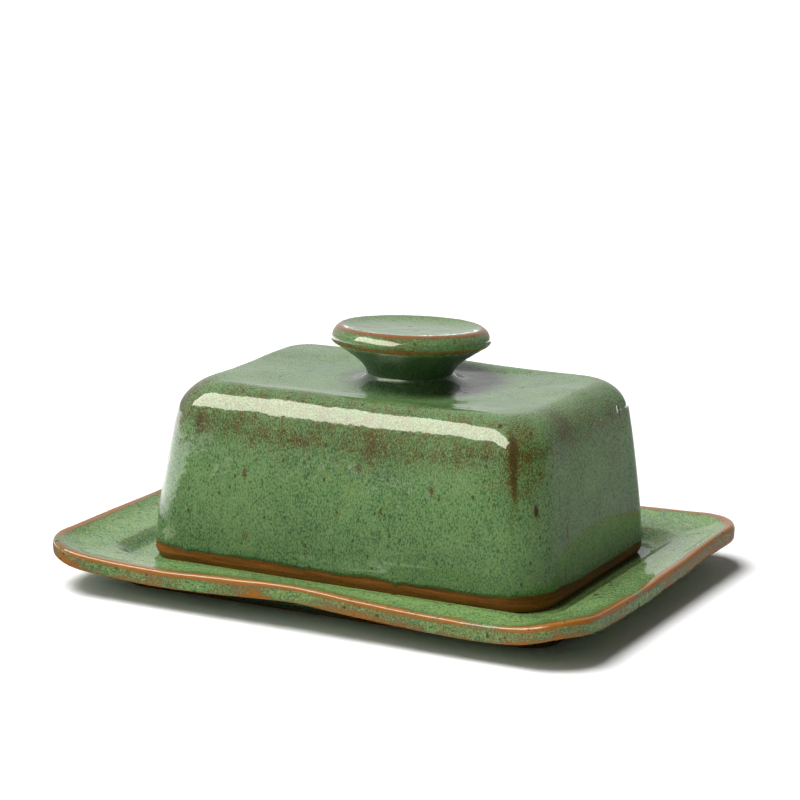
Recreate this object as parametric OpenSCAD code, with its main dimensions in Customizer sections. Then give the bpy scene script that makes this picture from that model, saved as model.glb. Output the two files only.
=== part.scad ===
// Rectangular stoneware butter dish: a footed tray with a recessed well, and a box-shaped cover
// with a thrown disc knob. Millimetres, +Z up, origin on the table under the middle of the dish.
// +X runs along the dish, and -Y is its front.

/* [Dish] */
// Length of the dish over its rim
dish_length = 194.6; // [190:0.1:206]
// Width of the dish over its rim
dish_width = 141.6; // [136:0.1:150]
// Thickness of the rim's edge
rim_thickness = 5.5; // [4.5:0.1:6]
// Radius of the rim's corners, seen from above
rim_corner = 17; // [14:1:22]
// Length of the well at its upper edge
well_length = 161; // [160:1:166]
// Width of the well at its upper edge
well_width = 105.5; // [105:0.5:110]
// Depth of the well, from its edge to its floor
well_depth = 3.9; // [3.2:0.1:4.2]
// Thickness of the dish under the well
floor_thickness = 6; // [5:0.1:8]

/* [Foot] */
// Height of the bare foot ring under the dish
foot_height = 2.5; // [2:0.1:4]
// Width of the foot ring's wall
foot_wall = 7; // [5:0.5:9]

/* [Cover] */
// Length of the cover at its foot
cover_length = 146.8; // [140:0.1:148]
// Width of the cover at its foot
cover_width = 91.8; // [86:0.1:93]
// Height of the cover from its foot to the top of its edge, without the knob
cover_height = 59; // [54:1:66]
// Thickness of the cover's wall
cover_wall = 6; // [5:0.1:7]
// How far each end leans in from foot to top
end_draft = 8.2; // [6:0.1:10]
// How far the front and back lean in from foot to top
side_draft = 5.8; // [4:0.1:8]
// Height of the rounded edge round the top
top_edge = 10; // [8:0.5:12]
// How much further down the long top edges begin to roll over than the short ones
long_roll = 4; // [0:0.5:6]
// Radius of the cover's upright corners, seen from above
cover_corner = 13; // [11:0.5:15]
// How much rounder those corners are at the foot than at the top
foot_corner = 1.5; // [0:0.5:3]
// How far the walls swell outwards halfway up
wall_swell = 0.9; // [0:0.1:1.2]
// How far the top has sunk under the knob
top_sag = 1.2; // [0:0.1:2]

/* [Knob] */
// Radius of the knob's disc
knob_radius = 26.5; // [25:0.5:28]
// Height of the knob over the cover's seat
knob_height = 18.9; // [18.6:0.1:20.5]
// Radius of the knob's neck
neck_radius = 14; // [13:0.1:15]
// Depth of the thumb hollow in the knob's top
knob_hollow = 1.6; // [0:0.1:2.5]
// How far the thrown knob leans back from upright, in degrees
knob_lean = 4; // [0:0.5:5]
// Height of the coil that joins the knob's neck to the cover
coil_height = 5; // [3:0.1:5.2]
// Width of that coil where it is pressed out on the cover
coil_width = 7.6; // [6:0.1:8]

/* [Hidden] */

// Glaze green, rust where the glaze breaks, and the bare clay of the foot ring
glaze = [0.40, 0.54, 0.30];
rust = [0.62, 0.36, 0.14];
clay = [0.45, 0.27, 0.12];

floor_z = foot_height + floor_thickness;
// The cover's foot stands on the high spots of the floor, so most of it hangs this far above
foot_gap = 0.1;
cover_z = floor_z + foot_gap;
seat_z = cover_z + cover_height - top_sag;
// The cover stands a little to the right of the middle, and came out leaning to the right and back
cover_middle = [0.5, 0];
top_drift = [1.9, 0.7];
// Where the knob stands on the cover, from the cover's middle
knob_place = [3.6, 0.9];
// Half width of the flat seat that the knob is luted to, and how far its rounded corners stop
// short of a full circle
seat_radius = neck_radius + coil_width + 0.6;
seat_flat = 4;

// Height of the rim's edge over the well floor as the hand-cut rim waves up and down, at each
// eighth of a side: the back from its right-hand corner, then the left, the front and the right
rim_heights = [
    6.8, 5.9, 5.3, 5.0, 5.0, 5.1, 5.4, 6.2,
    7.5, 7.4, 7.3, 7.4, 7.5, 7.7, 7.9, 8.0,
    7.8, 5.6, 4.8, 5.7, 6.6, 5.1, 4.1, 4.2,
    7.4, 6.4, 5.8, 5.5, 5.9, 6.2, 7.0, 7.1
];

// Points in each corner's arc, and along each side between two corners
arc_steps = 8;
side_steps = 12;
ring_count = 4 * (arc_steps + side_steps);
// Share of a side that each half of a corner's arc takes up
arc_share = 0.09;

function mix(a, b, t) = a + (b - a) * t;
function ease(t) = (1 - cos(180 * t)) / 2;

// 0 below low, 1 above high and an even slope between
function slope(x, low, high) =
    let (t = max(0, min(1, (x - low) / (high - low))))
    t * t * (3 - 2 * t);

// Where ring point i stands on the way round: 0 to 4, whole numbers at the corners
function way_round(i) =
    let (q = floor(i / (arc_steps + side_steps)), j = i - q * (arc_steps + side_steps))
    q + (j <= arc_steps
        ? mix(-arc_share, arc_share, j / arc_steps)
        : mix(arc_share, 1 - arc_share, (j - arc_steps) / side_steps));

// The smooth curve from b to c that also heeds the values a before and d after them
function curve(a, b, c, d, t) =
    (2 * b + (c - a) * t + (2 * a - 5 * b + 4 * c - d) * t * t + (3 * b - a - 3 * c + d) * t * t * t) / 2;

// Height of the rim's edge over the well floor, and how much lower the cover's edge begins to
// roll over, at each ring point
rim_wave = [
    for (i = [0:ring_count - 1])
        let (n = len(rim_heights), s = n / 4 * way_round(i) + n, k = floor(s), h = rim_heights)
        curve(h[(k - 1) % n], h[k % n], h[(k + 1) % n], h[(k + 2) % n], s - k)
];
roll_wave = [
    for (i = [0:ring_count - 1])
        let (side = way_round(i) - 2 * floor(way_round(i) / 2))
        long_roll * (slope(side, 0.04, 0.3) - slope(side, 0.7, 0.96))
];

// A corner's arc point, where q is the corner and t runs from 0 to 1
function corner_point(half, r, q, t) =
    let (sx = (q == 0 || q == 3) ? 1 : -1, sy = q < 2 ? 1 : -1, a = 90 * (q + t))
    [sx * (half.x - r) + r * cos(a), sy * (half.y - r) + r * sin(a)];

// A rounded rectangle as a list of points, counter-clockwise from the right end's back corner
function rounded_ring(half, r) = [
    for (q = [0:3])
        each concat(
            [for (j = [0:arc_steps]) corner_point(half, r, q, j / arc_steps)],
            [for (j = [1:side_steps - 1])
                mix(corner_point(half, r, q, 1), corner_point(half, r, (q + 1) % 4, 0),
                    j / side_steps)])
];

// A station is [half size, corner radius, height, share of the wave, sideways shift]
function station_ring(s, wave) =
    let (points = rounded_ring(s[0], s[1]))
    [for (i = [0:ring_count - 1])
        [points[i].x + s[4].x, points[i].y + s[4].y, s[2] + s[3] * wave[i]]];

// A closed skin through a list of stations, its first and last rings closed by a fan of triangles
module skin(stations, wave) {
    last = len(stations) - 1;
    middle = len(stations) * ring_count;
    points = concat([for (s = stations) each station_ring(s, wave)],
        [for (s = [stations[0], stations[last]]) [s[4].x, s[4].y, s[2]]]);
    sides = [
        for (k = [0:last - 1], i = [0:ring_count - 1])
            let (a = k * ring_count + i, b = k * ring_count + (i + 1) % ring_count)
            each [[a, b, b + ring_count], [a, b + ring_count, a + ring_count]]
    ];
    fans = [
        for (i = [0:ring_count - 1])
            let (next = (i + 1) % ring_count)
            each [[middle, next, i], [middle + 1, last * ring_count + i, last * ring_count + next]]
    ];
    polyhedron(points, concat(sides, fans), convexity = 6);
}

// One station of the dish: half size, corner radius, height over the well's floor and wave
function dish_station(half, r, z, wave = 0) = [half, r, floor_z + z, wave, [0, 0]];

rim_half = [dish_length, dish_width] / 2;
well_half = [well_length, well_width] / 2;
under_drop = rim_thickness + 0.1;

// The tray: from the middle of the well's floor, out over the rim and back underneath
module dish() {
    rim_middle = (well_half + [4, 4] + rim_half) / 2;
    crest = 0.96 * well_depth;
    dip = 0.59 * well_depth;
    corner = 12;
    color(glaze) skin([
        dish_station(well_half - [7, 7], corner - 5, 0),
        dish_station(well_half - [4.2, 4.2], corner - 3, 0.08 * well_depth),
        dish_station(well_half - [2.4, 2.4], corner - 2, 0.35 * well_depth),
        dish_station(well_half - [0.6, 0.6], corner - 1, 0.7 * well_depth),
        dish_station(well_half + [1.4, 1.4], corner, 0.95 * well_depth),
        dish_station(well_half + [4.4, 4.4], corner + 1, crest, 0.06),
        dish_station(rim_middle, corner + 3, dip, 0.44),
        dish_station(rim_half - [2.4, 2.4], rim_corner - 1, 0.36, 0.95),
        dish_station(rim_half - [1.1, 1.1], rim_corner, 0.12, 1),
        dish_station(rim_half - [0.35, 0.35], rim_corner, -0.55, 1),
        dish_station(rim_half, rim_corner, -1.7, 1),
        dish_station(rim_half - [0.15, 0.15], rim_corner, 1.2 - rim_thickness, 1),
        dish_station(rim_half - [1.3, 1.3], rim_corner, -rim_thickness, 1),
        dish_station(rim_middle + [1, 1], corner + 4, dip - under_drop, 0.44),
        dish_station(well_half + [5.2, 5.2], corner + 3, well_depth - under_drop),
        dish_station(well_half + [2.4, 2.4], corner + 2, -0.7 * floor_thickness),
        dish_station(well_half - [0.4, 0.4], corner + 1, 0.3 - floor_thickness),
        dish_station(well_half - [1.4, 1.4], corner, -floor_thickness)
    ], rim_wave);
}

// A rounded rectangle with true arcs, for what has to be exact
module rounded_plate(size, r, height) {
    linear_extrude(height) union() {
        square([size.x - 2 * r, size.y], center = true);
        square([size.x, size.y - 2 * r], center = true);
        for (x = [-1, 1], y = [-1, 1])
            translate([x * (size.x / 2 - r), y * (size.y / 2 - r)]) circle(r, $fn = 64);
    }
}

// The bare ring that the dish stands on
module dish_foot() {
    outer = [well_length, well_width] - [4.4, 4.4];
    radius = 10;
    color(clay) difference() {
        rounded_plate(outer, radius, foot_height);
        translate([0, 0, -1])
            rounded_plate(outer - 2 * [foot_wall, foot_wall], radius - foot_wall + 2, foot_height + 2);
    }
}

cover_half = [cover_length, cover_width] / 2;
draft = [end_draft, side_draft];

// Half size of the cover's outside at height z over its foot
function cover_half_at(z) =
    let (k = z / cover_height)
    cover_half - draft * k + [1, 1] * wall_swell * 4 * k * (1 - k);
// Sideways shift of the cover, and the radius of its corners, at height z over its foot
function drift(z) = cover_middle + top_drift * z / cover_height;
function corner_at(z) = cover_corner + foot_corner * (1 - z / cover_height);

// A station on the cover's wall, inset from its outside
function wall_station(z, inset, wave = 0) =
    [cover_half_at(z) - [inset, inset], max(corner_at(z) - inset * 0.8, 2), cover_z + z, wave, drift(z)];

// A station on a rounded edge that turns the wall over into the top, t from 0 to 1
function edge_station(z0, height, inset, t, wave = 0) =
    let (rise = sin(90 * t), z = z0 + height * rise, more = edge_depth * height * (1 - cos(90 * t)))
    [cover_half_at(z) - [1, 1] * (inset + more), max(corner_at(z) - inset * 0.8 - more * 0.5, 2.5),
        cover_z + z, wave * (1 - rise), drift(z)];

// A station on the sunken top, where the outline turns into the knob's round seat
function top_station(t) =
    let (rim = edge_station(cover_height - top_edge, top_edge, 0, 1), seat = [1, 1] * seat_radius)
    [mix(rim[0], seat, t), mix(rim[1], seat_radius - seat_flat, t),
        cover_z + cover_height - top_sag * ease(t), 0, cover_middle + mix(top_drift, knob_place, t)];

// How deep a rounded edge is for its height
edge_depth = 0.86;
ceiling_edge = 8;
ceiling_z = cover_height - top_sag - cover_wall - 0.4;
wall_stations = 8;
edge_stations = 7;

// The box-shaped cover: from the knob's seat, down the outside, round the foot and up the inside
module cover() {
    outer_top = cover_height - top_edge;
    inner_top = ceiling_z - ceiling_edge;
    bare_edge = 0.8;
    color(glaze) skin(concat(
        [for (t = [1, 0.75, 0.5, 0.25]) top_station(t)],
        [for (k = [edge_stations:-1:1]) edge_station(outer_top, top_edge, 0, k / edge_stations, -1)],
        [for (k = [wall_stations:-1:0])
            wall_station(mix(bare_edge, outer_top, k / wall_stations), 0, -k / wall_stations)],
        [wall_station(0, bare_edge), wall_station(0, cover_wall - 0.8)],
        [for (k = [0:wall_stations])
            wall_station(mix(bare_edge, inner_top, k / wall_stations), cover_wall)],
        [for (k = [1:edge_stations])
            edge_station(inner_top, ceiling_edge, cover_wall, k / edge_stations)]
    ), roll_wave);
}

// Puts a piece on the cover's seat, leaning as the knob does
module on_seat(lean = 0) {
    at = cover_middle + knob_place;
    translate([at.x, at.y, seat_z]) rotate([-lean, 0, 0]) children();
}

// How far the leaning neck reaches below the seat before it is trimmed flat, and how far above the
// coil it begins to flare
neck_spare = 2;
neck_clear = 1.3;

// A place on the flare between the neck and the disc's edge
function flare(share, down) = [mix(neck_radius, knob_radius, share), knob_height - down];
// A place on the disc, in from its edge and down from its highest ridge
function on_disc(inward, down) = [knob_radius - inward, knob_height - down];

// Half of the knob's section: neck, flare, rounded disc and thumb hollow
knob_outline = [
    [0, -neck_spare], [neck_radius, -neck_spare], [neck_radius, coil_height + neck_clear],
    flare(0.08, 12), flare(0.22, 11.2), flare(0.37, 10.1), flare(0.57, 8.5), flare(0.78, 6.9), flare(0.9, 5.9),
    on_disc(0.35, 5), on_disc(0, 3.8), on_disc(0.4, 2.5), on_disc(1.2, 1.3), on_disc(2.3, 0.35),
    on_disc(3.4, 0), on_disc(4.6, 0.2), on_disc(7, 0.5 * knob_hollow),
    on_disc(11, 0.8 * knob_hollow), on_disc(17, knob_hollow), [0, knob_height - knob_hollow]
];

// The thrown disc knob, trimmed flat where it meets the seat
module knob() {
    color(glaze) difference() {
        on_seat(knob_lean) rotate_extrude($fn = 96) polygon(knob_outline);
        on_seat() translate([0, 0, -10]) cube([80, 80, 20], center = true);
    }
}

// The coil of clay pressed round the neck to join the knob to the cover
module knob_coil() {
    steps = 8;
    fillet = [for (k = [0:steps])
        let (t = k / steps)
        [neck_radius + 0.5 + (coil_width - 0.5) * (1 - sin(90 * t)),
            0.3 + (coil_height - 0.3) * (1 - cos(90 * t))]];
    color(glaze) difference() {
        on_seat() rotate_extrude($fn = 96)
            polygon(concat([[neck_radius - 1, 0], [neck_radius + coil_width, 0]], fillet,
                [[neck_radius - 1, coil_height]]));
        on_seat(knob_lean) translate([0, 0, -neck_spare])
            cylinder(r = neck_radius, h = neck_spare + coil_height + 2, $fn = 96);
    }
}

dish();
dish_foot();
cover();
knob();
knob_coil();
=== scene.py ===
# A rectangular stoneware butter dish under a box-shaped cover with a thrown disc knob, in a speckled green
# glaze that breaks to rust on its edges. Lengths are in millimetres, which MM turns into the frame's metres,
# except in the section on the floor, the light and the camera, which is in metres.
import math

import bpy
import numpy as np
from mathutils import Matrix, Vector


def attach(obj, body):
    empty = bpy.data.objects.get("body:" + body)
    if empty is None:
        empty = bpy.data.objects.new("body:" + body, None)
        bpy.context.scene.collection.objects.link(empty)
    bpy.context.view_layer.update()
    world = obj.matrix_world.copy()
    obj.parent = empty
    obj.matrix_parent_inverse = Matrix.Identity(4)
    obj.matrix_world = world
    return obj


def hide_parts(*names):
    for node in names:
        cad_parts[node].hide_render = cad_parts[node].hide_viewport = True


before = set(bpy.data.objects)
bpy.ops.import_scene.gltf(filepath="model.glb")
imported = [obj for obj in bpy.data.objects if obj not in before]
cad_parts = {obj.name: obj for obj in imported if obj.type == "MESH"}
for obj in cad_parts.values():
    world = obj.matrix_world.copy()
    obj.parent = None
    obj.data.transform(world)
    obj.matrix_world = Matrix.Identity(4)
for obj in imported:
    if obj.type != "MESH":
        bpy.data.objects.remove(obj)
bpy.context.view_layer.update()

MM = 0.001

# ---------------------------------------------------------------- sizes, as in the CAD part

FLOOR_Z = 8.5                       # the well's floor over the table
COVER_Z = 8.6                       # the cover's foot over the table
FOOT_HEIGHT = 2.5
FOOT_WIDTH = 7.0
RIM_HALF = np.array([97.3, 70.8])
WELL_HALF = np.array([80.5, 52.75])
WELL_DEPTH = 3.9
RIM_THICKNESS = 5.5
WELL_CORNER = 12.0
RIM_CORNER = 17.0
# Height of the rim's edge over the well's floor, every eighth of a side: the back from its right-hand
# corner, then the left end, the front and the right end
RIM_HEIGHTS = [6.8, 5.9, 5.3, 5.0, 5.0, 5.1, 5.4, 6.2,
               7.5, 7.4, 7.3, 7.4, 7.5, 7.7, 7.9, 8.0,
               7.8, 5.6, 4.8, 5.7, 6.6, 5.1, 4.1, 4.2,
               7.4, 6.4, 5.8, 5.5, 5.9, 6.2, 7.0, 7.1]

COVER_HALF = np.array([73.4, 45.9])
COVER_HEIGHT = 59.0
COVER_WALL = 6.0
COVER_DRAFT = np.array([8.2, 5.8])
COVER_CORNER = 13.0
FOOT_CORNER = 1.5                   # how much rounder the cover's corners are at its foot
TOP_EDGE = 10.0
EDGE_DEPTH = 0.86                   # how far in the top edge rolls, for its height
EDGE_FROM = COVER_HEIGHT - TOP_EDGE
LONG_ROLL = 4.0                     # how much lower the long top edges start to roll over than the short ones
WALL_SWELL = 0.9
TOP_SAG = 1.2
TOP_DRIFT = np.array([1.9, 0.7])
COVER_OFFSET = np.array([0.5, 0.0])
SEAT_HALF = 22.2
SEAT_FLAT = 4.0
SEAT_Z = COVER_Z + COVER_HEIGHT - TOP_SAG

KNOB_RADIUS = 26.5
KNOB_HEIGHT = 18.9
KNOB_AT = np.array([3.6, 0.9])
NECK_RADIUS = 14.0
KNOB_LEAN = math.radians(4.0)
COIL_HEIGHT = 5.0
COIL_WIDTH = 7.6

# ---------------------------------------------------------------- sizes of the finer shapes

COAT = 0.42                         # the glaze's thickness over the clay
WALL_FOOT = 11.0                    # where the cover's rings start to follow the glaze's lower edge
FOOT_IN, FOOT_UP = 2.6, 3.0         # the rounding of the cover's foot outside
LIP_ROUND = 1.6                     # and inside
GLAZE_INSIDE = 1.0                  # how much lower the glaze ends inside the cover than outside
CEILING_ROUND = 8.0
CEILING_Z = COVER_HEIGHT - TOP_SAG - COVER_WALL - 0.4
SPONGED = 0.7                       # the rounding of the dish's foot ring

# ---------------------------------------------------------------- small maths helpers


def mix(a, b, t):
    return a + (b - a) * t


def smooth(x, low, high):
    """0 below low, 1 above high and an even slope between."""
    t = np.clip((x - low) / (high - low), 0, 1)
    return t * t * (3 - 2 * t)


def bump(x, middle, width):
    """A bell of height 1 at middle."""
    return np.exp(-((x - middle) / width) ** 2)


def through(a, b, c, d, t):
    """The smooth curve from b to c at t, where a comes before them and d after them."""
    square = (2 * a - 5 * b + 4 * c - d) * t ** 2
    cube = (3 * b - a - 3 * c + d) * t ** 3
    return 0.5 * (2 * b + (c - a) * t + square + cube)


def between(start, end, leaving, arriving, t):
    """The curve from start to end at t, with its slopes at both ends."""
    square, cube = t ** 2, t ** 3
    ends = (2 * cube - 3 * square + 1) * start + (3 * square - 2 * cube) * end
    return ends + (cube - 2 * square + t) * leaving + (cube - square) * arriving


def hashed(i, j, k, seed):
    """An even random number from 0 to 1 for each lattice point."""
    n = (i * 374761393 + j * 668265263 + k * 2147483647 + seed * 1274126177) & 0xFFFFFFFF
    n = ((n ^ (n >> 13)) * 1274126177) & 0xFFFFFFFF
    n = ((n ^ (n >> 16)) * 2246822519) & 0xFFFFFFFF
    return (n ^ (n >> 15)) / 4294967295.0


def noise(p, size, seed):
    """Smooth noise from -1 to 1 at points p, whose lumps are about size millimetres across."""
    q = np.asarray(p, float) / size
    base = np.floor(q).astype(np.int64)
    f = q - base
    f = f * f * (3 - 2 * f)
    total = 0
    for dx in (0, 1):
        for dy in (0, 1):
            for dz in (0, 1):
                w = (f[..., 0] if dx else 1 - f[..., 0]) * (f[..., 1] if dy else 1 - f[..., 1])
                w = w * (f[..., 2] if dz else 1 - f[..., 2])
                total = total + w * hashed(base[..., 0] + dx, base[..., 1] + dy, base[..., 2] + dz, seed)
    return total * 2 - 1


# ---------------------------------------------------------------- rings and skins

ARC_STEPS = 30
SIDE_STEPS = (84, 54)               # long sides, short sides
ARC_SHARE = 0.09                    # the share of a side that half a corner takes, as in the CAD part


def ring_layout():
    """Where each ring point is: corner, corner's share, side's share, and the way round from 0 to 4."""
    rows = []
    for q in range(4):
        for j in range(ARC_STEPS + 1):
            t = j / ARC_STEPS
            rows.append((q, t, 0.0, q + mix(-ARC_SHARE, ARC_SHARE, t)))
        steps = SIDE_STEPS[q % 2]
        for j in range(1, steps):
            t = j / steps
            rows.append((q, 1.0, t, q + mix(ARC_SHARE, 1 - ARC_SHARE, t)))
    return np.array(rows)


LAYOUT = ring_layout()
RING = len(LAYOUT)
WAY = LAYOUT[:, 3] % 4
NEAR_CORNER = np.abs((WAY + 0.5) % 1 - 0.5)     # how far round each point is from its nearest corner


def ring(half, radius):
    """A rounded rectangle's points, counter-clockwise from the right end's back corner."""
    sign = np.array([[1, 1], [-1, 1], [-1, -1], [1, -1]], float)

    def corner(q, t):
        a = np.radians(90 * (q + t))
        return sign[q] * (half - radius) + radius * np.stack([np.cos(a), np.sin(a)], -1)

    q = LAYOUT[:, 0].astype(int)
    start = corner(q, LAYOUT[:, 1])
    end = corner((q + 1) % 4, LAYOUT[:, 1] * 0)
    return mix(start, end, LAYOUT[:, 2:3])


def skin(stations):
    """A grid of points, a ring for each station: half size, corner radius, height or heights, and shift."""
    grid = np.zeros((len(stations), RING, 3))
    for row, (half, radius, z, shift) in zip(grid, stations):
        row[:, :2] = ring(np.asarray(half, float), radius) + shift
        row[:, 2] = z
    return grid


def normals(grid):
    """The outward direction at each point of a grid, whose rings run counter-clockwise from the top down."""
    along = np.roll(grid, -1, 1) - np.roll(grid, 1, 1)
    across = np.gradient(grid, axis=0)
    n = np.cross(across, along)
    return n / np.maximum(np.linalg.norm(n, axis=-1, keepdims=True), 1e-9)


def shell(name, grid, masks, materials, body, capped=True, bare=None):
    """A closed mesh from a grid, in place of the CAD node of its name, with its masks as vertex attributes.
    Capped closes both ends with a fan, and bare says which rows of faces are of the second material."""
    rows, n = grid.shape[:2]
    points = grid.reshape(-1, 3)
    i = np.arange(n)
    k = np.arange(rows - 1)[:, None] * n
    a, b = k + i, k + (i + 1) % n
    faces = np.stack([a, a + n, b + n, b], -1).reshape(-1, 4).tolist()
    if capped:
        middle, last = len(points), (rows - 1) * n
        faces += [(middle, int(p), int((p + 1) % n)) for p in i]
        faces += [(middle + 1, last + int((p + 1) % n), last + int(p)) for p in i]
        points = np.concatenate([points, [grid[0].mean(0), grid[-1].mean(0)]])
    mesh = bpy.data.meshes.new(name)
    mesh.from_pydata((points * MM).tolist(), [], faces)
    mesh.validate()
    mesh.shade_smooth()
    for key, values in masks.items():
        flat = np.asarray(values, float).reshape(-1)
        flat = np.concatenate([flat, np.full(len(points) - len(flat), flat[0])])
        mesh.attributes.new(key, "FLOAT", "POINT").data.foreach_set("value", flat.astype(np.float32))
    for material in materials:
        mesh.materials.append(material)
    if bare is not None:
        index = np.zeros(len(mesh.polygons), np.int32)
        index[:(rows - 1) * n] = np.repeat(np.asarray(bare, int)[:rows - 1], n)
        mesh.polygons.foreach_set("material_index", index)
    piece = bpy.data.objects.new(name, mesh)
    bpy.context.scene.collection.objects.link(piece)
    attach(piece, body)
    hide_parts(name)


# ---------------------------------------------------------------- materials


class Nodes:
    """Short ways to build a material's nodes."""

    def __init__(self, name):
        self.material = bpy.data.materials.new(name)
        self.material.use_nodes = True
        self.tree = self.material.node_tree
        self.shader = self.tree.nodes["Principled BSDF"]
        coords = self.add("ShaderNodeTexCoord")
        scale = self.add("ShaderNodeVectorMath", operation="SCALE")
        self.tree.links.new(coords.outputs["Object"], scale.inputs[0])
        scale.inputs["Scale"].default_value = 1 / MM
        self.mm = scale.outputs[0]

    def add(self, kind, **settings):
        made = self.tree.nodes.new(kind)
        for key, value in settings.items():
            setattr(made, key, value)
        return made

    def put(self, socket, value):
        """Link or set a socket."""
        if isinstance(value, bpy.types.NodeSocket):
            self.tree.links.new(value, socket)
        elif isinstance(value, tuple) and len(value) == 3 and socket.type == "RGBA":
            socket.default_value = (*value, 1)
        else:
            socket.default_value = value

    def maths(self, operation, a, b):
        made = self.add("ShaderNodeMath", operation=operation)
        self.put(made.inputs[0], a)
        self.put(made.inputs[1], b)
        return made.outputs[0]

    def weighted(self, *terms, less=0.0):
        """The sum of (value, weight) terms, less a number."""
        total = -less
        for value, weight in terms:
            total = self.maths("ADD", self.maths("MULTIPLY", value, weight), total)
        return total

    def stretch(self, x, y, z):
        """The place in millimetres, times a number on each axis: a pattern runs long where that is small."""
        made = self.add("ShaderNodeVectorMath", operation="MULTIPLY")
        self.put(made.inputs[0], self.mm)
        made.inputs[1].default_value = (x, y, z)
        return made.outputs[0]

    def dot(self, direction):
        """How far along a direction a point lies, in millimetres."""
        made = self.add("ShaderNodeVectorMath", operation="DOT_PRODUCT")
        self.put(made.inputs[0], self.mm)
        made.inputs[1].default_value = direction
        return made.outputs["Value"]

    def noise(self, size, detail=2.0, rough=0.5, at=None, warp=0.0):
        """Noise from 0 to 1 whose lumps are about size millimetres across."""
        made = self.add("ShaderNodeTexNoise")
        self.put(made.inputs["Vector"], at or self.mm)
        made.inputs["Scale"].default_value = 1 / size
        made.inputs["Detail"].default_value = detail
        made.inputs["Roughness"].default_value = rough
        made.inputs["Distortion"].default_value = warp
        return made.outputs["Fac"]

    def spots(self, spacing, share, at):
        """1 in scattered round spots of many sizes, about one in each spacing millimetres."""
        soft = 0.04
        cells = self.add("ShaderNodeTexVoronoi")
        self.put(cells.inputs["Vector"], at)
        cells.inputs["Scale"].default_value = 1 / spacing
        split = self.add("ShaderNodeSeparateColor")
        self.tree.links.new(cells.outputs["Color"], split.inputs[0])
        size = self.maths("MULTIPLY", self.maths("POWER", split.outputs[0], 3.0), share)
        return self.ramp(self.maths("SUBTRACT", size, cells.outputs["Distance"]), -soft, soft)

    def ramp(self, value, low, high, out_low=0.0, out_high=1.0):
        made = self.add("ShaderNodeMapRange", interpolation_type="SMOOTHSTEP")
        for socket, number in zip(made.inputs[:5], (value, low, high, out_low, out_high)):
            self.put(socket, number)
        return made.outputs[0]

    def colours(self, value, stops):
        """The colour at value between (place, colour) stops."""
        made = self.add("ShaderNodeValToRGB")
        self.put(made.inputs[0], value)
        elements = made.color_ramp.elements
        while len(elements) < len(stops):
            elements.new(0.5)
        for element, (place, colour) in zip(elements, stops):
            element.position = place
            element.color = (*colour, 1)
        return made.outputs[0]

    def blend(self, share, a, b):
        """Colour a where share is 0 and b where it is 1."""
        made = self.add("ShaderNodeMix", data_type="RGBA")
        for index, value in ((0, share), (6, a), (7, b)):
            self.put(made.inputs[index], value)
        return made.outputs[2]

    def mask(self, name):
        return self.add("ShaderNodeAttribute", attribute_name=name).outputs["Fac"]

    def bumps(self, height, distance, under=None):
        """The normal of bumps that are distance millimetres high, laid over another normal."""
        made = self.add("ShaderNodeBump")
        made.inputs["Distance"].default_value = distance * MM
        self.put(made.inputs["Height"], height)
        if under:
            self.put(made.inputs["Normal"], under)
        return made.outputs[0]


# Four greens each, from deep to pale
GREENS = [(0.044, 0.098, 0.040), (0.098, 0.190, 0.066), (0.138, 0.246, 0.084), (0.188, 0.292, 0.108)]
DISH_GREENS = [(0.036, 0.140, 0.070), (0.140, 0.245, 0.078), (0.205, 0.310, 0.096), (0.290, 0.385, 0.140)]
# Near black green: glaze pooled thick, and painted shade under the knob's disc, round its neck and coil,
# under the dish's rim and on its foot
POOL_AND_SHADE = (0.008, 0.040, 0.010)
BROWN = (0.080, 0.038, 0.002)
SPECK = (0.040, 0.034, 0.010)
HALO = (0.150, 0.060, 0.012)
IRON = (0.030, 0.014, 0.005)
CLAY = (0.290, 0.104, 0.016)
CLAY_DARK = (0.120, 0.042, 0.007)


def glaze(name, mid, rust, greens=GREENS, fall=1.0, size=0.48):
    """Reactive green glaze with a grain of that size. The mask "thin" breaks it to brown, then to mid and to
    rust. A second mask darkens it to a near black green where the glaze lies thick and where shade is painted
    in.
    Fall under 1 draws its grain and spots out downwards."""
    n = Nodes(name)
    drawn = n.stretch(1, 1, fall)
    grain = n.noise(size, 2.0, 0.5, drawn)
    blots = n.noise(3.2, 3.0, 0.6, drawn, 0.6)
    clouds = n.noise(24.0, 2.0, 0.5)
    tone = n.weighted((grain, 0.95), (blots, 0.30), (clouds, 0.22), less=0.235)
    # The body goes to that near black green where the glaze pools and where shade is painted in
    body = n.blend(n.mask("pool_and_shade"), n.colours(tone, list(zip((0.36, 0.46, 0.58, 0.74), greens))), POOL_AND_SHADE)

    flecks = n.noise(0.36, 3.0, 0.65, n.stretch(1.1, 0.9, fall))
    thin = n.weighted((n.mask("thin"), 1.0), (flecks, 2.4), (blots, 1.0), less=1.61)
    edge = n.colours(n.mask("thin"), [(0.35, BROWN), (0.62, mid), (0.95, rust)])
    colour = n.blend(n.maths("MULTIPLY", n.ramp(thin, 0.42, 0.86), 0.88), body, edge)

    iron_at = n.stretch(1.15, 1.15, 0.6 * fall)
    iron = n.spots(8.0, 0.15, iron_at)
    halo = n.spots(8.0, 0.19, iron_at)
    specks = n.spots(1.9, 0.30, drawn)
    for spots, strength, paint in ((specks, 0.75, SPECK), (halo, 0.4, HALO), (iron, 0.9, IRON)):
        colour = n.blend(n.maths("MULTIPLY", spots, strength), colour, paint)
    n.put(n.shader.inputs["Base Color"], colour)

    dull_pool_and_shade = n.ramp(n.mask("pool_and_shade"), 0.36, 0.46, 0, 0.22)
    n.put(n.shader.inputs["Roughness"], n.maths("ADD", n.ramp(grain, 0.35, 0.7, 0.05, 0.11), dull_pool_and_shade))
    n.shader.inputs["IOR"].default_value = 1.54
    pits = n.bumps(n.maths("SUBTRACT", 1.0, iron), 0.10)
    n.put(n.shader.inputs["Normal"], n.bumps(n.noise(6.0, 2.0, 0.5), 0.16, pits))
    return n.material


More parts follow.
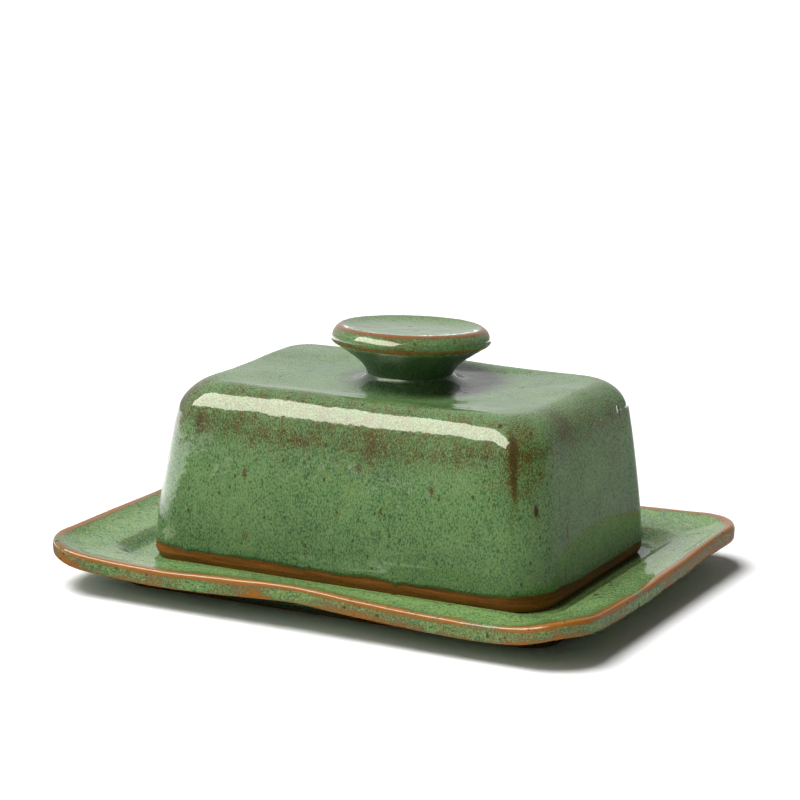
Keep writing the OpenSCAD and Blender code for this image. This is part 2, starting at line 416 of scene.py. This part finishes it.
def clay(name):
    """Bare fired clay, with the lines of the tool that trimmed it."""
    n = Nodes(name)
    tooling = n.noise(1.5, 3.0, 0.6, n.stretch(0.08, 0.08, 1.8))
    grit = n.noise(0.7, 4.0, 0.7)
    shade = n.weighted((tooling, 0.6), (grit, 0.4))
    n.put(n.shader.inputs["Base Color"], n.colours(shade, [(0.36, CLAY_DARK), (0.60, CLAY)]))
    n.shader.inputs["Roughness"].default_value = 0.45
    n.shader.inputs["IOR"].default_value = 1.22
    n.put(n.shader.inputs["Normal"], n.bumps(shade, 0.22))
    return n.material


COVER_GLAZE = glaze("cover_glaze", mid=(0.068, 0.026, 0.001), rust=(0.044, 0.013, 0.001), fall=0.62)
KNOB_GLAZE = glaze("knob_glaze", mid=(0.100, 0.034, 0.001), rust=(0.220, 0.056, 0.001))
DISH_GLAZE = glaze("dish_glaze", mid=(0.140, 0.078, 0.040), rust=(0.290, 0.080, 0.002), greens=DISH_GREENS,
                   size=0.65)
BARE_CLAY = clay("bare_clay")


# ---------------------------------------------------------------- the cover

TOP, EDGE, WALL, BARE, INSIDE = range(5)        # the kinds of the cover's rings, from its top to its ceiling

# How much lower the top edge starts to roll over, all the way round
ROLL = LONG_ROLL * (smooth(WAY % 2, 0.04, 0.3) - smooth(WAY % 2, 0.7, 0.96))

# Where the glaze runs lower over the cover's bare foot: the way round and how far
DRIPS = [(2.12, 1.0), (2.42, 0.5), (2.66, 0.7), (2.94, 0.5), (3.3, 0.6), (3.62, 0.9), (0.3, 0.9), (1.5, 0.7)]

# Long brown runs down the walls: the way round, middle height, half width as a share of a side, half length
# and strength
WALL_RUNS = [
    (2.958, 44, 0.008, 9.0, 0.50), (2.945, 27, 0.018, 16.0, 0.24), (2.962, 51, 0.012, 5.0, 0.40),
    (2.90, 40, 0.040, 9.0, 0.17), (3.12, 31, 0.009, 13.0, 0.42), (3.16, 15, 0.007, 6.0, 0.55),
    (3.20, 18, 0.004, 5.0, 0.6), (3.62, 27, 0.003, 3.5, 0.6), (3.42, 36, 0.003, 3.0, 0.5),
    (2.10, 46, 0.010, 4.0, 0.4), (1.03, 40, 0.012, 8.0, 0.5), (0.02, 38, 0.012, 9.0, 0.5),
    (1.97, 30, 0.010, 7.0, 0.4),
]

# Single dark flecks on the front and then on the right end, in the same terms
FLECKS = [
    (2.245, 33, 0.004, 1.6, 1.2), (2.27, 12.5, 0.005, 2.2, 1.2), (2.55, 39, 0.003, 1.4, 0.9),
    (2.40, 16, 0.003, 1.2, 0.9), (2.62, 26, 0.003, 1.4, 1.0), (2.745, 35, 0.004, 1.8, 1.3),
    (2.765, 33, 0.003, 1.2, 0.9), (2.82, 15, 0.003, 1.4, 0.8), (2.70, 16, 0.002, 1.4, 0.8),
    (2.50, 24, 0.002, 1.2, 0.7), (2.36, 27, 0.003, 1.2, 0.7), (2.86, 24, 0.003, 1.4, 0.7),
    (3.18, 22, 0.004, 3.4, 1.0), (3.15, 9.5, 0.003, 3.2, 0.9), (3.21, 12, 0.002, 3.0, 0.8),
    (3.36, 31, 0.002, 3.4, 0.8), (3.47, 24, 0.002, 3.0, 0.7), (3.29, 38, 0.002, 2.4, 0.6),
    (3.55, 38, 0.002, 2.2, 0.6),
]


def cover_half(z):
    k = z / COVER_HEIGHT
    return COVER_HALF - COVER_DRAFT * k + WALL_SWELL * 4 * k * (1 - k)


def corner_at(z):
    return COVER_CORNER + FOOT_CORNER * (1 - z / COVER_HEIGHT)


def cover_shift(z):
    return TOP_DRIFT * z / COVER_HEIGHT + COVER_OFFSET


def cover_wall(z, inset=0.0, level=None):
    """A ring of the cover's wall. Where its height z goes up and down, level or its mean sets its size."""
    middle = float(np.mean(z)) if level is None else level
    corner = max(corner_at(middle) - inset * 0.8, 2)
    return (cover_half(middle) - inset, corner, COVER_Z + z, cover_shift(middle))


def cover_edge(foot, radius, inset, t, lower=0.0):
    """A ring of an edge that rolls over from the wall at t = 0 to the top at t = 1."""
    rise = math.sin(t * math.pi / 2)
    inwards = EDGE_DEPTH * radius * (1 - math.cos(t * math.pi / 2))
    z = foot + radius * rise
    corner = max(corner_at(z) - inset * 0.8 - inwards * 0.5, 2.5)
    return (cover_half(z) - inset - inwards, corner, COVER_Z + z - lower * (1 - rise), cover_shift(z))


def glaze_line():
    """How high the bare foot shows under the glaze, all the way round: wavy, with a few drips."""
    a = WAY * math.pi / 2
    circle = np.stack([np.cos(a), np.sin(a), a * 0], -1)
    line = 4.6 + 1.0 * bump(WAY, 2.02, 0.10) + 1.3 * bump(WAY, 3.08, 0.14)
    line = line + 0.4 * noise(circle, 0.5, 3) + 0.35 * noise(circle, 0.10, 4) + 0.22 * noise(circle, 0.03, 5)
    for way, depth in DRIPS:
        line = line - depth * bump(WAY, way, 0.008)
    return line


def cover_outside(line):
    """The glazed outside from the knob's seat to the glaze's edge: each ring, its kind and how far along."""
    half, corner = cover_edge(EDGE_FROM, TOP_EDGE, 0, 1)[:2]
    for t in np.linspace(1, 0, 40)[:-1]:
        z = COVER_Z + COVER_HEIGHT - TOP_SAG * (1 - math.cos(math.pi * t)) / 2
        shift = mix(TOP_DRIFT, KNOB_AT, t) + COVER_OFFSET
        yield (mix(half, SEAT_HALF, t), mix(corner, SEAT_HALF - SEAT_FLAT, t), z, shift), TOP, t
    for t in np.linspace(1, 0, 27)[:-1]:
        yield cover_edge(EDGE_FROM, TOP_EDGE, 0, t, ROLL), EDGE, t
    for t in np.linspace(0, 1, 42)[:-1]:
        yield cover_wall(mix(EDGE_FROM - ROLL, WALL_FOOT, t), level=mix(EDGE_FROM, WALL_FOOT, t)), WALL, 0.0
    for t in np.linspace(0, 1, 30) ** 0.6:
        yield cover_wall(mix(WALL_FOOT, line, t)), WALL, 0.0


def cover_foot(line):
    """The bare foot's rings: down the outside, round, across, and up the inside as far as its glaze."""
    for t in np.linspace(0, 1, 12)[1:]:
        yield cover_wall(mix(line, FOOT_UP, t))
    for a in np.linspace(0, math.pi / 2, 9)[1:]:
        yield cover_wall(FOOT_UP * (1 - math.sin(a)), FOOT_IN * (1 - math.cos(a)))
    for t in np.linspace(0, 1, 5)[1:]:
        yield cover_wall(0, mix(FOOT_IN, COVER_WALL - LIP_ROUND, t))
    for a in np.linspace(0, math.pi / 2, 6)[1:]:
        yield cover_wall(LIP_ROUND * (1 - math.cos(a)), COVER_WALL - LIP_ROUND * (1 - math.sin(a)))
    for t in np.linspace(0, 1, 4)[1:]:
        yield cover_wall(mix(LIP_ROUND, line - GLAZE_INSIDE, t), COVER_WALL)


def cover_inside(line):
    """The glazed inside's rings: up the wall, over its edge and in to the middle of the ceiling."""
    wall_top = CEILING_Z - CEILING_ROUND
    for t in np.linspace(0, 1, 20)[1:]:
        yield cover_wall(mix(line - GLAZE_INSIDE, wall_top, t), COVER_WALL)
    for t in np.linspace(0, 1, 12)[1:]:
        yield cover_edge(wall_top, CEILING_ROUND, COVER_WALL, t)
    half, corner, z, shift = cover_edge(wall_top, CEILING_ROUND, COVER_WALL, 1)
    for t in np.linspace(0, 1, 6)[1:]:
        yield (mix(half, 12.0, t), mix(corner, 8.0, t), z, shift)


def cover_relief(grid, where, along, z, line):
    """The cover's skin with its glaze standing proud of the clay, and with the marks of the maker's hand."""
    out = normals(grid)
    bare = (where == BARE) * (z > 0.4)
    # The glaze is thickest where it rolls over at its lower edge
    roll = 0.60 * np.sqrt(np.clip((z - line) / 0.8, 0, 1)) - 0.18 * smooth(z - line, 0.8, 5.0)
    grid = grid + out * (np.where(where == WALL, roll - COAT, 0.0) - COAT * bare)[..., None]
    # Slow swells in the walls, and finer ones near the top edge
    swell = 0.42 * noise(grid, 42, 11) + 0.14 * noise(grid, 17, 12)
    swell = swell + 0.26 * noise(grid * [1, 1, 0.6], 11, 13) * smooth(z, 34, 52)
    fade = np.where(where == TOP, smooth(1 - along, 0.0, 0.3), 1.0) * (where <= WALL)
    fade = fade * np.where(where == WALL, smooth(z, 5, 12), 1.0)
    grid = grid + out * (swell * fade)[..., None]
    # The tool's lines in the bare clay
    return grid + out * (0.10 * noise(grid * [0.15, 0.15, 1], 1.6, 14) * bare)[..., None]


def cover_masks(grid, where, along, z, line):
    """The glaze lies thin on the edges, the corners, the runs and the flecks. It pools over the foot, and
    round the knob's seat it is darkened a little, both as pooled glaze and as painted shade under the knob's
    disc."""
    below = np.clip(EDGE_FROM - ROLL - z, 0, 60)
    on_top = 0.30 * np.exp(-along / 0.10)
    on_edge = 0.46 - 0.16 * smooth(along, 0.45, 1.0) + 0.06 * bump(along, 0.0, 0.4)
    on_wall = 0.46 * np.exp(-below / 6.5) + 0.10 * np.exp(-below / 22)
    thin = np.select([where == TOP, where == EDGE, where == WALL], [on_top, on_edge, on_wall], 0.0)
    thin = thin * (0.70 + 0.25 * smooth(NEAR_CORNER, 0.02, 0.10))
    thin = thin + 0.26 * bump(NEAR_CORNER, 0.0, 0.05) * smooth(z, 4, 46) * (where > TOP)
    for way, height, wide, tall, strength in WALL_RUNS + FLECKS:
        thin = thin + strength * bump(WAY, way, wide) * bump(z, height, tall) * (where <= WALL)
    thin = np.clip(thin + 0.16 * noise(grid, 16, 21) + 0.10 * noise(grid, 6, 22), 0, 1)
    pool_and_shade = 0.12 * (where == WALL) * bump(z - line, 1.2, 1.6) + 0.12 * (where == TOP) * smooth(along, 0.8, 1)
    return {"thin": thin, "pool_and_shade": pool_and_shade}


def build_cover():
    line = glaze_line()
    rings = list(cover_outside(line))
    rings += [(station, BARE, 0.0) for station in cover_foot(line)]
    rings += [(station, INSIDE, 0.0) for station in cover_inside(line)]
    stations, kinds, shares = zip(*rings)
    grid = skin(stations)
    z = grid[..., 2] - COVER_Z
    where = np.broadcast_to(np.array(kinds)[:, None], z.shape)
    along = np.broadcast_to(np.array(shares)[:, None], z.shape)
    grid = cover_relief(grid, where, along, z, line)
    masks = cover_masks(grid, where, along, z, line)
    shell("cover", grid, masks, [COVER_GLAZE, BARE_CLAY], "cover",
          bare=np.array(kinds) == BARE)


# ---------------------------------------------------------------- the knob and the coil round its neck

AROUND = 176


def turned(profile, lean):
    """A grid turned about the upright axis from (radius, height) points, leaned back and set on the seat."""
    profile = np.asarray(profile, float)
    a = np.linspace(0, 2 * math.pi, AROUND, endpoint=False)
    grid = np.zeros((len(profile), AROUND, 3))
    grid[..., 0] = profile[:, :1] * np.cos(a)
    grid[..., 1] = profile[:, :1] * np.sin(a)
    grid[..., 2] = profile[:, 1:]
    y, z = grid[..., 1].copy(), grid[..., 2].copy()
    grid[..., 1] = y * math.cos(lean) + z * math.sin(lean)
    grid[..., 2] = z * math.cos(lean) - y * math.sin(lean)
    return grid + np.array([*(KNOB_AT + COVER_OFFSET), SEAT_Z])


def spline(points, steps):
    """A smooth line through (radius, height) points, with that many steps between two of them."""
    p = np.asarray(points, float)
    padded = np.concatenate([[2 * p[0] - p[1]], p, [2 * p[-1] - p[-2]]])
    line = []
    for k in range(len(p) - 1):
        for t in np.arange(steps) / steps:
            line.append(through(*padded[k:k + 4], t))
    line.append(p[-1])
    return np.array(line)


def knob_profile():
    """The knob's outline: the thumb hollow, the disc's ridge and edge, the flare and the neck."""
    r, h = KNOB_RADIUS, KNOB_HEIGHT
    hollow = [(2.0, h - 1.7), (r - 17, h - 1.6), (r - 11, h - 1.3), (r - 7, h - 0.8), (r - 4.6, h - 0.2)]
    ridge = [(r - 3.4, h), (r - 2.3, h - 0.35), (r - 1.2, h - 1.3), (r - 0.4, h - 2.5)]
    edge = [(r, h - 3.8), (r - 0.35, h - 5.0), (r - 1.2, h - 5.9), (r - 2.8, h - 6.9)]
    flare = [(r - 5.4, h - 8.5), (r - 8.2, h - 10.4), (r - 10.3, h - 12.2), (r - 11.7, h - 14.0)]
    neck = [(NECK_RADIUS + 0.1, h - 15.6), (NECK_RADIUS, 2.0), (NECK_RADIUS, 0.0)]
    return spline(hollow + ridge + edge + flare + neck, 8)


def build_knob():
    line = knob_profile()
    grid = turned(line, KNOB_LEAN)
    inwards = np.broadcast_to(KNOB_RADIUS - line[:, :1], grid.shape[:2])
    below = np.broadcast_to(KNOB_HEIGHT - line[:, 1:], grid.shape[:2])
    swell = (0.16 * noise(grid, 15, 31) + 0.05 * noise(grid, 5, 32)) * smooth(line[:, :1], 2, 8)
    grid = grid + normals(grid) * swell[..., None]

    ridge = 1.15 * bump(inwards, 2.9, 1.0) * (below < 1.6)
    lower_edge = 0.80 * bump(below, 5.7, 0.8) * (inwards < 3.4)
    band = 0.44 * (inwards < 2.6) * (below < 5.5) + 0.16 * (inwards > 3) * (below < 2)
    patches = 0.16 * noise(grid, 11, 33) + 0.08 * noise(grid, 4, 34)
    thin = np.clip(ridge + lower_edge + band + patches, 0, 1) * (below < 7)
    # Painted shade with pooled glaze: the disc's underside and the neck below it go near black green
    pool_and_shade = 0.72 * smooth(below, 5.9, 7.5) * (inwards > 1)
    shell("knob", grid, {"thin": thin, "pool_and_shade": pool_and_shade}, [KNOB_GLAZE], "cover")


def build_coil():
    """The hollow-sided fillet of clay, whose foot lies just inside the cover's top."""
    sunk = -0.12
    t = np.linspace(0, 1, 30)
    inner = NECK_RADIUS - 0.2
    outer = inner + (COIL_WIDTH + 0.2) * (1 - np.sin(t * math.pi / 2))
    line = np.stack([outer, 0.03 + COIL_HEIGHT * (1 - np.cos(t * math.pi / 2))], -1)[::-1]
    line = np.concatenate([line, [[NECK_RADIUS + COIL_WIDTH + 0.4, sunk], [NECK_RADIUS - 1.0, sunk]]])
    grid = turned(line, 0.0)
    share = (grid[..., 2] - SEAT_Z) / COIL_HEIGHT
    grid[..., 1] += np.clip(share, 0, 1.2) * COIL_HEIGHT * math.sin(KNOB_LEAN)
    grid = np.concatenate([grid, grid[:1]])
    # Painted shade with pooled glaze, darker up the coil towards the knob's disc
    pool_and_shade = 0.10 + 0.56 * np.clip(np.concatenate([share, share[:1]]), 0, 1)
    shell("knob_coil", grid, {"thin": pool_and_shade * 0, "pool_and_shade": pool_and_shade}, [KNOB_GLAZE], "cover",
          capped=False)


# ---------------------------------------------------------------- the dish and its foot

MIDDLE = (WELL_HALF + 4 + RIM_HALF) / 2         # half way across the rim
SLAB = RIM_THICKNESS + 0.1                      # the slab's thickness under the rim

# The dish's section from the well's middle over the rim's edge and back underneath: half size, corner radius,
# height over the well's floor, share of the rim's wave, and steps to the next
DISH_KEYS = [
    (np.array([14.0, 8.0]), 6.0, 0.0, 0.0, 6),
    (WELL_HALF - 7.0, WELL_CORNER - 5, 0.0, 0.0, 5),
    (WELL_HALF - 4.2, WELL_CORNER - 3, 0.30, 0.0, 5),
    (WELL_HALF - 2.4, WELL_CORNER - 2, 1.35, 0.0, 5),
    (WELL_HALF - 0.6, WELL_CORNER - 1, 2.75, 0.0, 5),
    (WELL_HALF + 1.4, WELL_CORNER, 3.70, 0.0, 5),
    (WELL_HALF + 4.4, WELL_CORNER + 1, 3.75, 0.06, 8),
    (MIDDLE, WELL_CORNER + 3, 2.30, 0.44, 10),
    (RIM_HALF - 2.4, RIM_CORNER - 1, 0.40, 0.95, 5),
    (RIM_HALF - 0.85, RIM_CORNER, 0.26, 1.0, 5),
    (RIM_HALF - 0.18, RIM_CORNER, -0.30, 1.0, 5),
    (RIM_HALF, RIM_CORNER, -1.5, 1.0, 5),
    (RIM_HALF - 0.15, RIM_CORNER, -RIM_THICKNESS + 1.2, 1.0, 5),
    (RIM_HALF - 1.3, RIM_CORNER, -RIM_THICKNESS, 1.0, 4),
    (MIDDLE + 1, WELL_CORNER + 4, 2.30 - SLAB, 0.44, 6),
    (WELL_HALF + 5.2, WELL_CORNER + 3, WELL_DEPTH - SLAB, 0.0, 6),
    (WELL_HALF + 2.4, WELL_CORNER + 2, -4.2, 0.0, 6),
    (WELL_HALF - 0.4, WELL_CORNER + 1, -5.7, 0.0, 3),
    (WELL_HALF - 1.4, WELL_CORNER, -6.0, 0.0, 1),
]


def rim_wave():
    """The rim's height over the well's floor all the way round, smooth through its listed heights."""
    s = WAY * 8
    k = np.floor(s).astype(int)
    heights = np.array(RIM_HEIGHTS)
    a, b, c, d = (heights[(k + j) % len(heights)] for j in (-1, 0, 1, 2))
    return through(a, b, c, d, s - k)


def slopes(rows):
    """A slope at each row that never overshoots: none where the line turns, else between its neighbours'."""
    step = np.diff(rows, axis=0)
    both = step[:-1] * step[1:]
    inner = np.where(both > 0, 2 * both / np.where(both > 0, step[:-1] + step[1:], 1), 0)
    return np.concatenate([step[:1], inner, step[-1:]])


def dish_stations():
    """The dish's rings, and the place of each: the number of its key and the share of the way to the next."""
    rows = np.array([[*half, radius, z, share] for half, radius, z, share, _ in DISH_KEYS])
    slope = slopes(rows)
    place = [k + t for k, key in enumerate(DISH_KEYS[:-1]) for t in np.arange(key[4]) / key[4]]
    place.append(len(rows) - 1)
    wave = rim_wave()
    stations = []
    for at in place:
        k = min(int(at), len(rows) - 2)
        x, y, radius, z, share = between(rows[k], rows[k + 1], slope[k], slope[k + 1], at - k)
        stations.append(((x, y), max(radius, 2), FLOOR_Z + z + share * wave, 0))
    return stations, np.array(place)


def dish_relief(grid, place):
    """The dish's skin with the slab's slow swells, a soft mitre crease across each of the rim's corners, and
    an uneven edge."""
    out = normals(grid)
    on_rim = smooth(place, 5.5, 6.5) * (1 - smooth(place, 7.2, 8.2))
    swell = 0.30 * noise(grid, 30, 41) + 0.12 * noise(grid, 11, 42)
    lift = swell * smooth(place, 4.0, 6.5) * (1 - smooth(place, 16.0, 17.0))
    lift = lift - 0.40 * bump(NEAR_CORNER, 0.0, 0.02) * on_rim
    grid = grid + out * lift[..., None]
    edge = 0.35 * noise(grid, 9, 43) * smooth(place, 8.5, 10) * (1 - smooth(place, 12.5, 14))
    grid[..., :2] -= np.abs(edge)[..., None] * np.sign(grid[..., :2]) * 0.6
    return grid


def dish_masks(grid, place):
    """The glaze lies thin on the rim's upper and lower edges, in patches on its side, and on the well's lip.
    It is darker in the well's corner, where the glaze pools and shade is painted in, and painted shade
    darkens the rim's underside."""
    wobble = 0.20 * noise(grid, 7, 44) + 0.14 * noise(grid, 3, 45)
    upper = smooth(place + 0.5 * wobble, 7.3, 8.3) * (1 - smooth(place + wobble, 10.3, 11.3))
    upper = upper * (0.98 + 0.45 * noise(grid, 22, 47))
    lower = 0.9 * bump(place, 13.0, 0.6)
    lip = 0.40 * bump(place, 4.4, 1.0)
    side = 0.62 * bump(place, 11.9, 1.2) * (1 + 0.8 * noise(grid, 17, 46))
    thin = upper + lower + lip + side + wobble * smooth(place, 6, 9)
    pool_and_shade = 0.34 * smooth(place, 13.2, 14.2) + 0.30 * bump(place, 3.2, 1.2)
    return {"thin": np.clip(thin, 0, 1), "pool_and_shade": pool_and_shade}


def build_dish():
    stations, place = dish_stations()
    grid = skin(stations)
    place = np.broadcast_to(place[:, None], grid.shape[:2])
    grid = dish_relief(grid, place)
    shell("dish", grid, dish_masks(grid, place), [DISH_GLAZE], "dish")


def build_foot():
    """The ring that the dish stands on, its edges softened by the sponge: glazed outside, bare below."""
    outer, radius = WELL_HALF - 2.2, 10.0
    quarter = np.linspace(0, math.pi / 2, 6)[1:]
    # How far in and how high each ring is
    outside = [(mix(FOOT_WIDTH / 2, 0.3, t), FOOT_HEIGHT) for t in np.linspace(0, 1, 4)]
    outside += [(0.0, z) for z in np.linspace(FOOT_HEIGHT - 0.2, SPONGED, 5)]
    outside += [(SPONGED * (1 - math.cos(a)), SPONGED * (1 - math.sin(a))) for a in quarter]
    under = [(mix(SPONGED, FOOT_WIDTH - SPONGED, t), 0.0) for t in np.linspace(0, 1, 5)[1:]]
    inside = [(FOOT_WIDTH - SPONGED * (1 - math.sin(a)), SPONGED * (1 - math.cos(a))) for a in quarter]
    inside += [(FOOT_WIDTH, z) for z in np.linspace(SPONGED, FOOT_HEIGHT, 4)[1:]]
    rings = outside + under + inside
    grid = skin([(outer - inset, max(radius - inset * 0.75, 4), z, 0) for inset, z in rings])
    grid = np.concatenate([grid, grid[:1]])
    # Painted shade: the glazed outside goes near black green, as it stands in the shadow under the rim
    masks = {"thin": grid[..., 2] * 0, "pool_and_shade": grid[..., 2] * 0 + 0.9}
    glazed_rings = 8
    shell("dish_foot", grid, masks, [DISH_GLAZE, BARE_CLAY], "dish", capped=False,
          bare=np.arange(len(grid)) >= glazed_rings)


# ---------------------------------------------------------------- floor, light and camera, in metres

WHITE = (1, 1, 1, 1)
LIGHT_AIM = Vector((0, 0, 0.06))
CAMERA_AT = Vector((0.4335, -0.820, 0.281))
CAMERA_AIM = Vector((-0.0045, 0.0105, 0.0574))


def add_object(name, data, at=(0, 0, 0), along=None):
    """A new object in the scene. A lamp or a camera points along a direction."""
    made = bpy.data.objects.new(name, data)
    made.location = at
    if along is not None:
        made.rotation_euler = along.to_track_quat("-Z", "Y").to_euler()
    bpy.context.scene.collection.objects.link(made)
    return made


def studio_floor():
    """A white floor, painted darker where the glaze reflects it, most of all at the front left, with a patch
    at the
    back left that glows only in reflections: painted light for the sheen on the cover's left-hand corner."""
    n = Nodes("studio_floor")
    reflected = n.add("ShaderNodeLightPath").outputs["Is Glossy Ray"]
    # The floor as the glaze reflects it: painted darker than its white, most of all at the front left
    seen = n.ramp(n.dot((-0.85, -0.52, 0)), -200, 200, 0.26, 0.06)
    n.put(n.shader.inputs["Base Color"], n.blend(reflected, (0.95, 0.95, 0.95), seen))
    n.shader.inputs["Roughness"].default_value = 0.75
    # A painted glow that is no lamp, seen only in reflections
    patch = n.ramp(n.dot((-0.90, 0.45, 0)), 120, 250, 0, 3.0)
    n.shader.inputs["Emission Color"].default_value = WHITE
    n.put(n.shader.inputs["Emission Strength"], n.maths("MULTIPLY", patch, reflected))
    mesh = bpy.data.meshes.new("floor")
    s = 12.0
    mesh.from_pydata([(-s, -s, 0), (s, -s, 0), (s, s, 0), (-s, s, 0)], [], [(0, 1, 2, 3)])
    mesh.materials.append(n.material)
    add_object("floor", mesh)


def room():
    """The room is white to the camera and dim as a light. The glaze sees it bright at the back left, less so
    overhead, and dark at the right."""
    world = bpy.data.worlds.new("studio")
    bpy.context.scene.world = world
    world.use_nodes = True
    tree = world.node_tree
    tree.nodes.clear()
    add, link = tree.nodes.new, tree.links.new
    coords = add("ShaderNodeTexCoord")
    towards = add("ShaderNodeVectorMath")
    towards.operation = "DOT_PRODUCT"
    towards.inputs[1].default_value = (-0.85, 0.30, 0.30)
    level = add("ShaderNodeMapRange")
    for socket, number in zip(level.inputs[1:5], (-0.5, 0.7, 0.06, 0.95)):
        socket.default_value = number
    reflected = add("ShaderNodeBackground")
    link(coords.outputs["Generated"], towards.inputs[0])
    link(towards.outputs["Value"], level.inputs[0])
    link(level.outputs[0], reflected.inputs["Strength"])
    path = add("ShaderNodeLightPath")
    shown = reflected.outputs[0]
    for ray, strength in (("Is Diffuse Ray", 0.09), ("Is Camera Ray", 1.1)):
        plain = add("ShaderNodeBackground")
        plain.inputs["Color"].default_value = WHITE
        plain.inputs["Strength"].default_value = strength
        choose = add("ShaderNodeMixShader")
        link(path.outputs[ray], choose.inputs[0])
        link(shown, choose.inputs[1])
        link(plain.outputs[0], choose.inputs[2])
        shown = choose.outputs[0]
    link(shown, add("ShaderNodeOutputWorld").inputs["Surface"])


def softbox(name, at, size, radiance, colour=(1, 1, 1), glossy=True, diffuse=True):
    data = bpy.data.lights.new(name, "AREA")
    data.shape = "RECTANGLE"
    data.size, data.size_y = size
    data.energy = radiance * size[0] * size[1] * math.pi
    data.color = colour
    lamp = add_object(name, data, at, LIGHT_AIM - Vector(at))
    lamp.visible_glossy = glossy
    lamp.visible_diffuse = diffuse
    lamp.visible_camera = False


def sun(name, towards, strength, spread):
    data = bpy.data.lights.new(name, "SUN")
    data.energy = strength
    data.angle = math.radians(spread)
    lamp = add_object(name, data, along=-Vector(towards))
    lamp.visible_glossy = False


def set_camera():
    data = bpy.data.cameras.new("camera")
    data.lens = 130.6
    data.sensor_width = 36
    data.clip_start = 0.05
    bpy.context.scene.camera = add_object("camera", data, CAMERA_AT, CAMERA_AIM - CAMERA_AT)
    bpy.context.scene.view_settings.view_transform = "Standard"
    bpy.context.scene.view_settings.look = "None"


build_cover()
build_knob()
build_coil()
build_dish()
build_foot()

studio_floor()
room()
# The long softbox over the front left is seen as the strip along the cover's top edge
softbox("strip", (-0.534, -0.800, 1.022), (1.70, 0.70), 10.5, colour=(1.0, 0.985, 0.82), diffuse=False)
softbox("front_fill", (-0.66, -0.99, 0.85), (1.9, 0.80), 0.85, glossy=False)
sun("key", (-0.26, -0.25, 0.94), 4.0, 34)
set_camera()
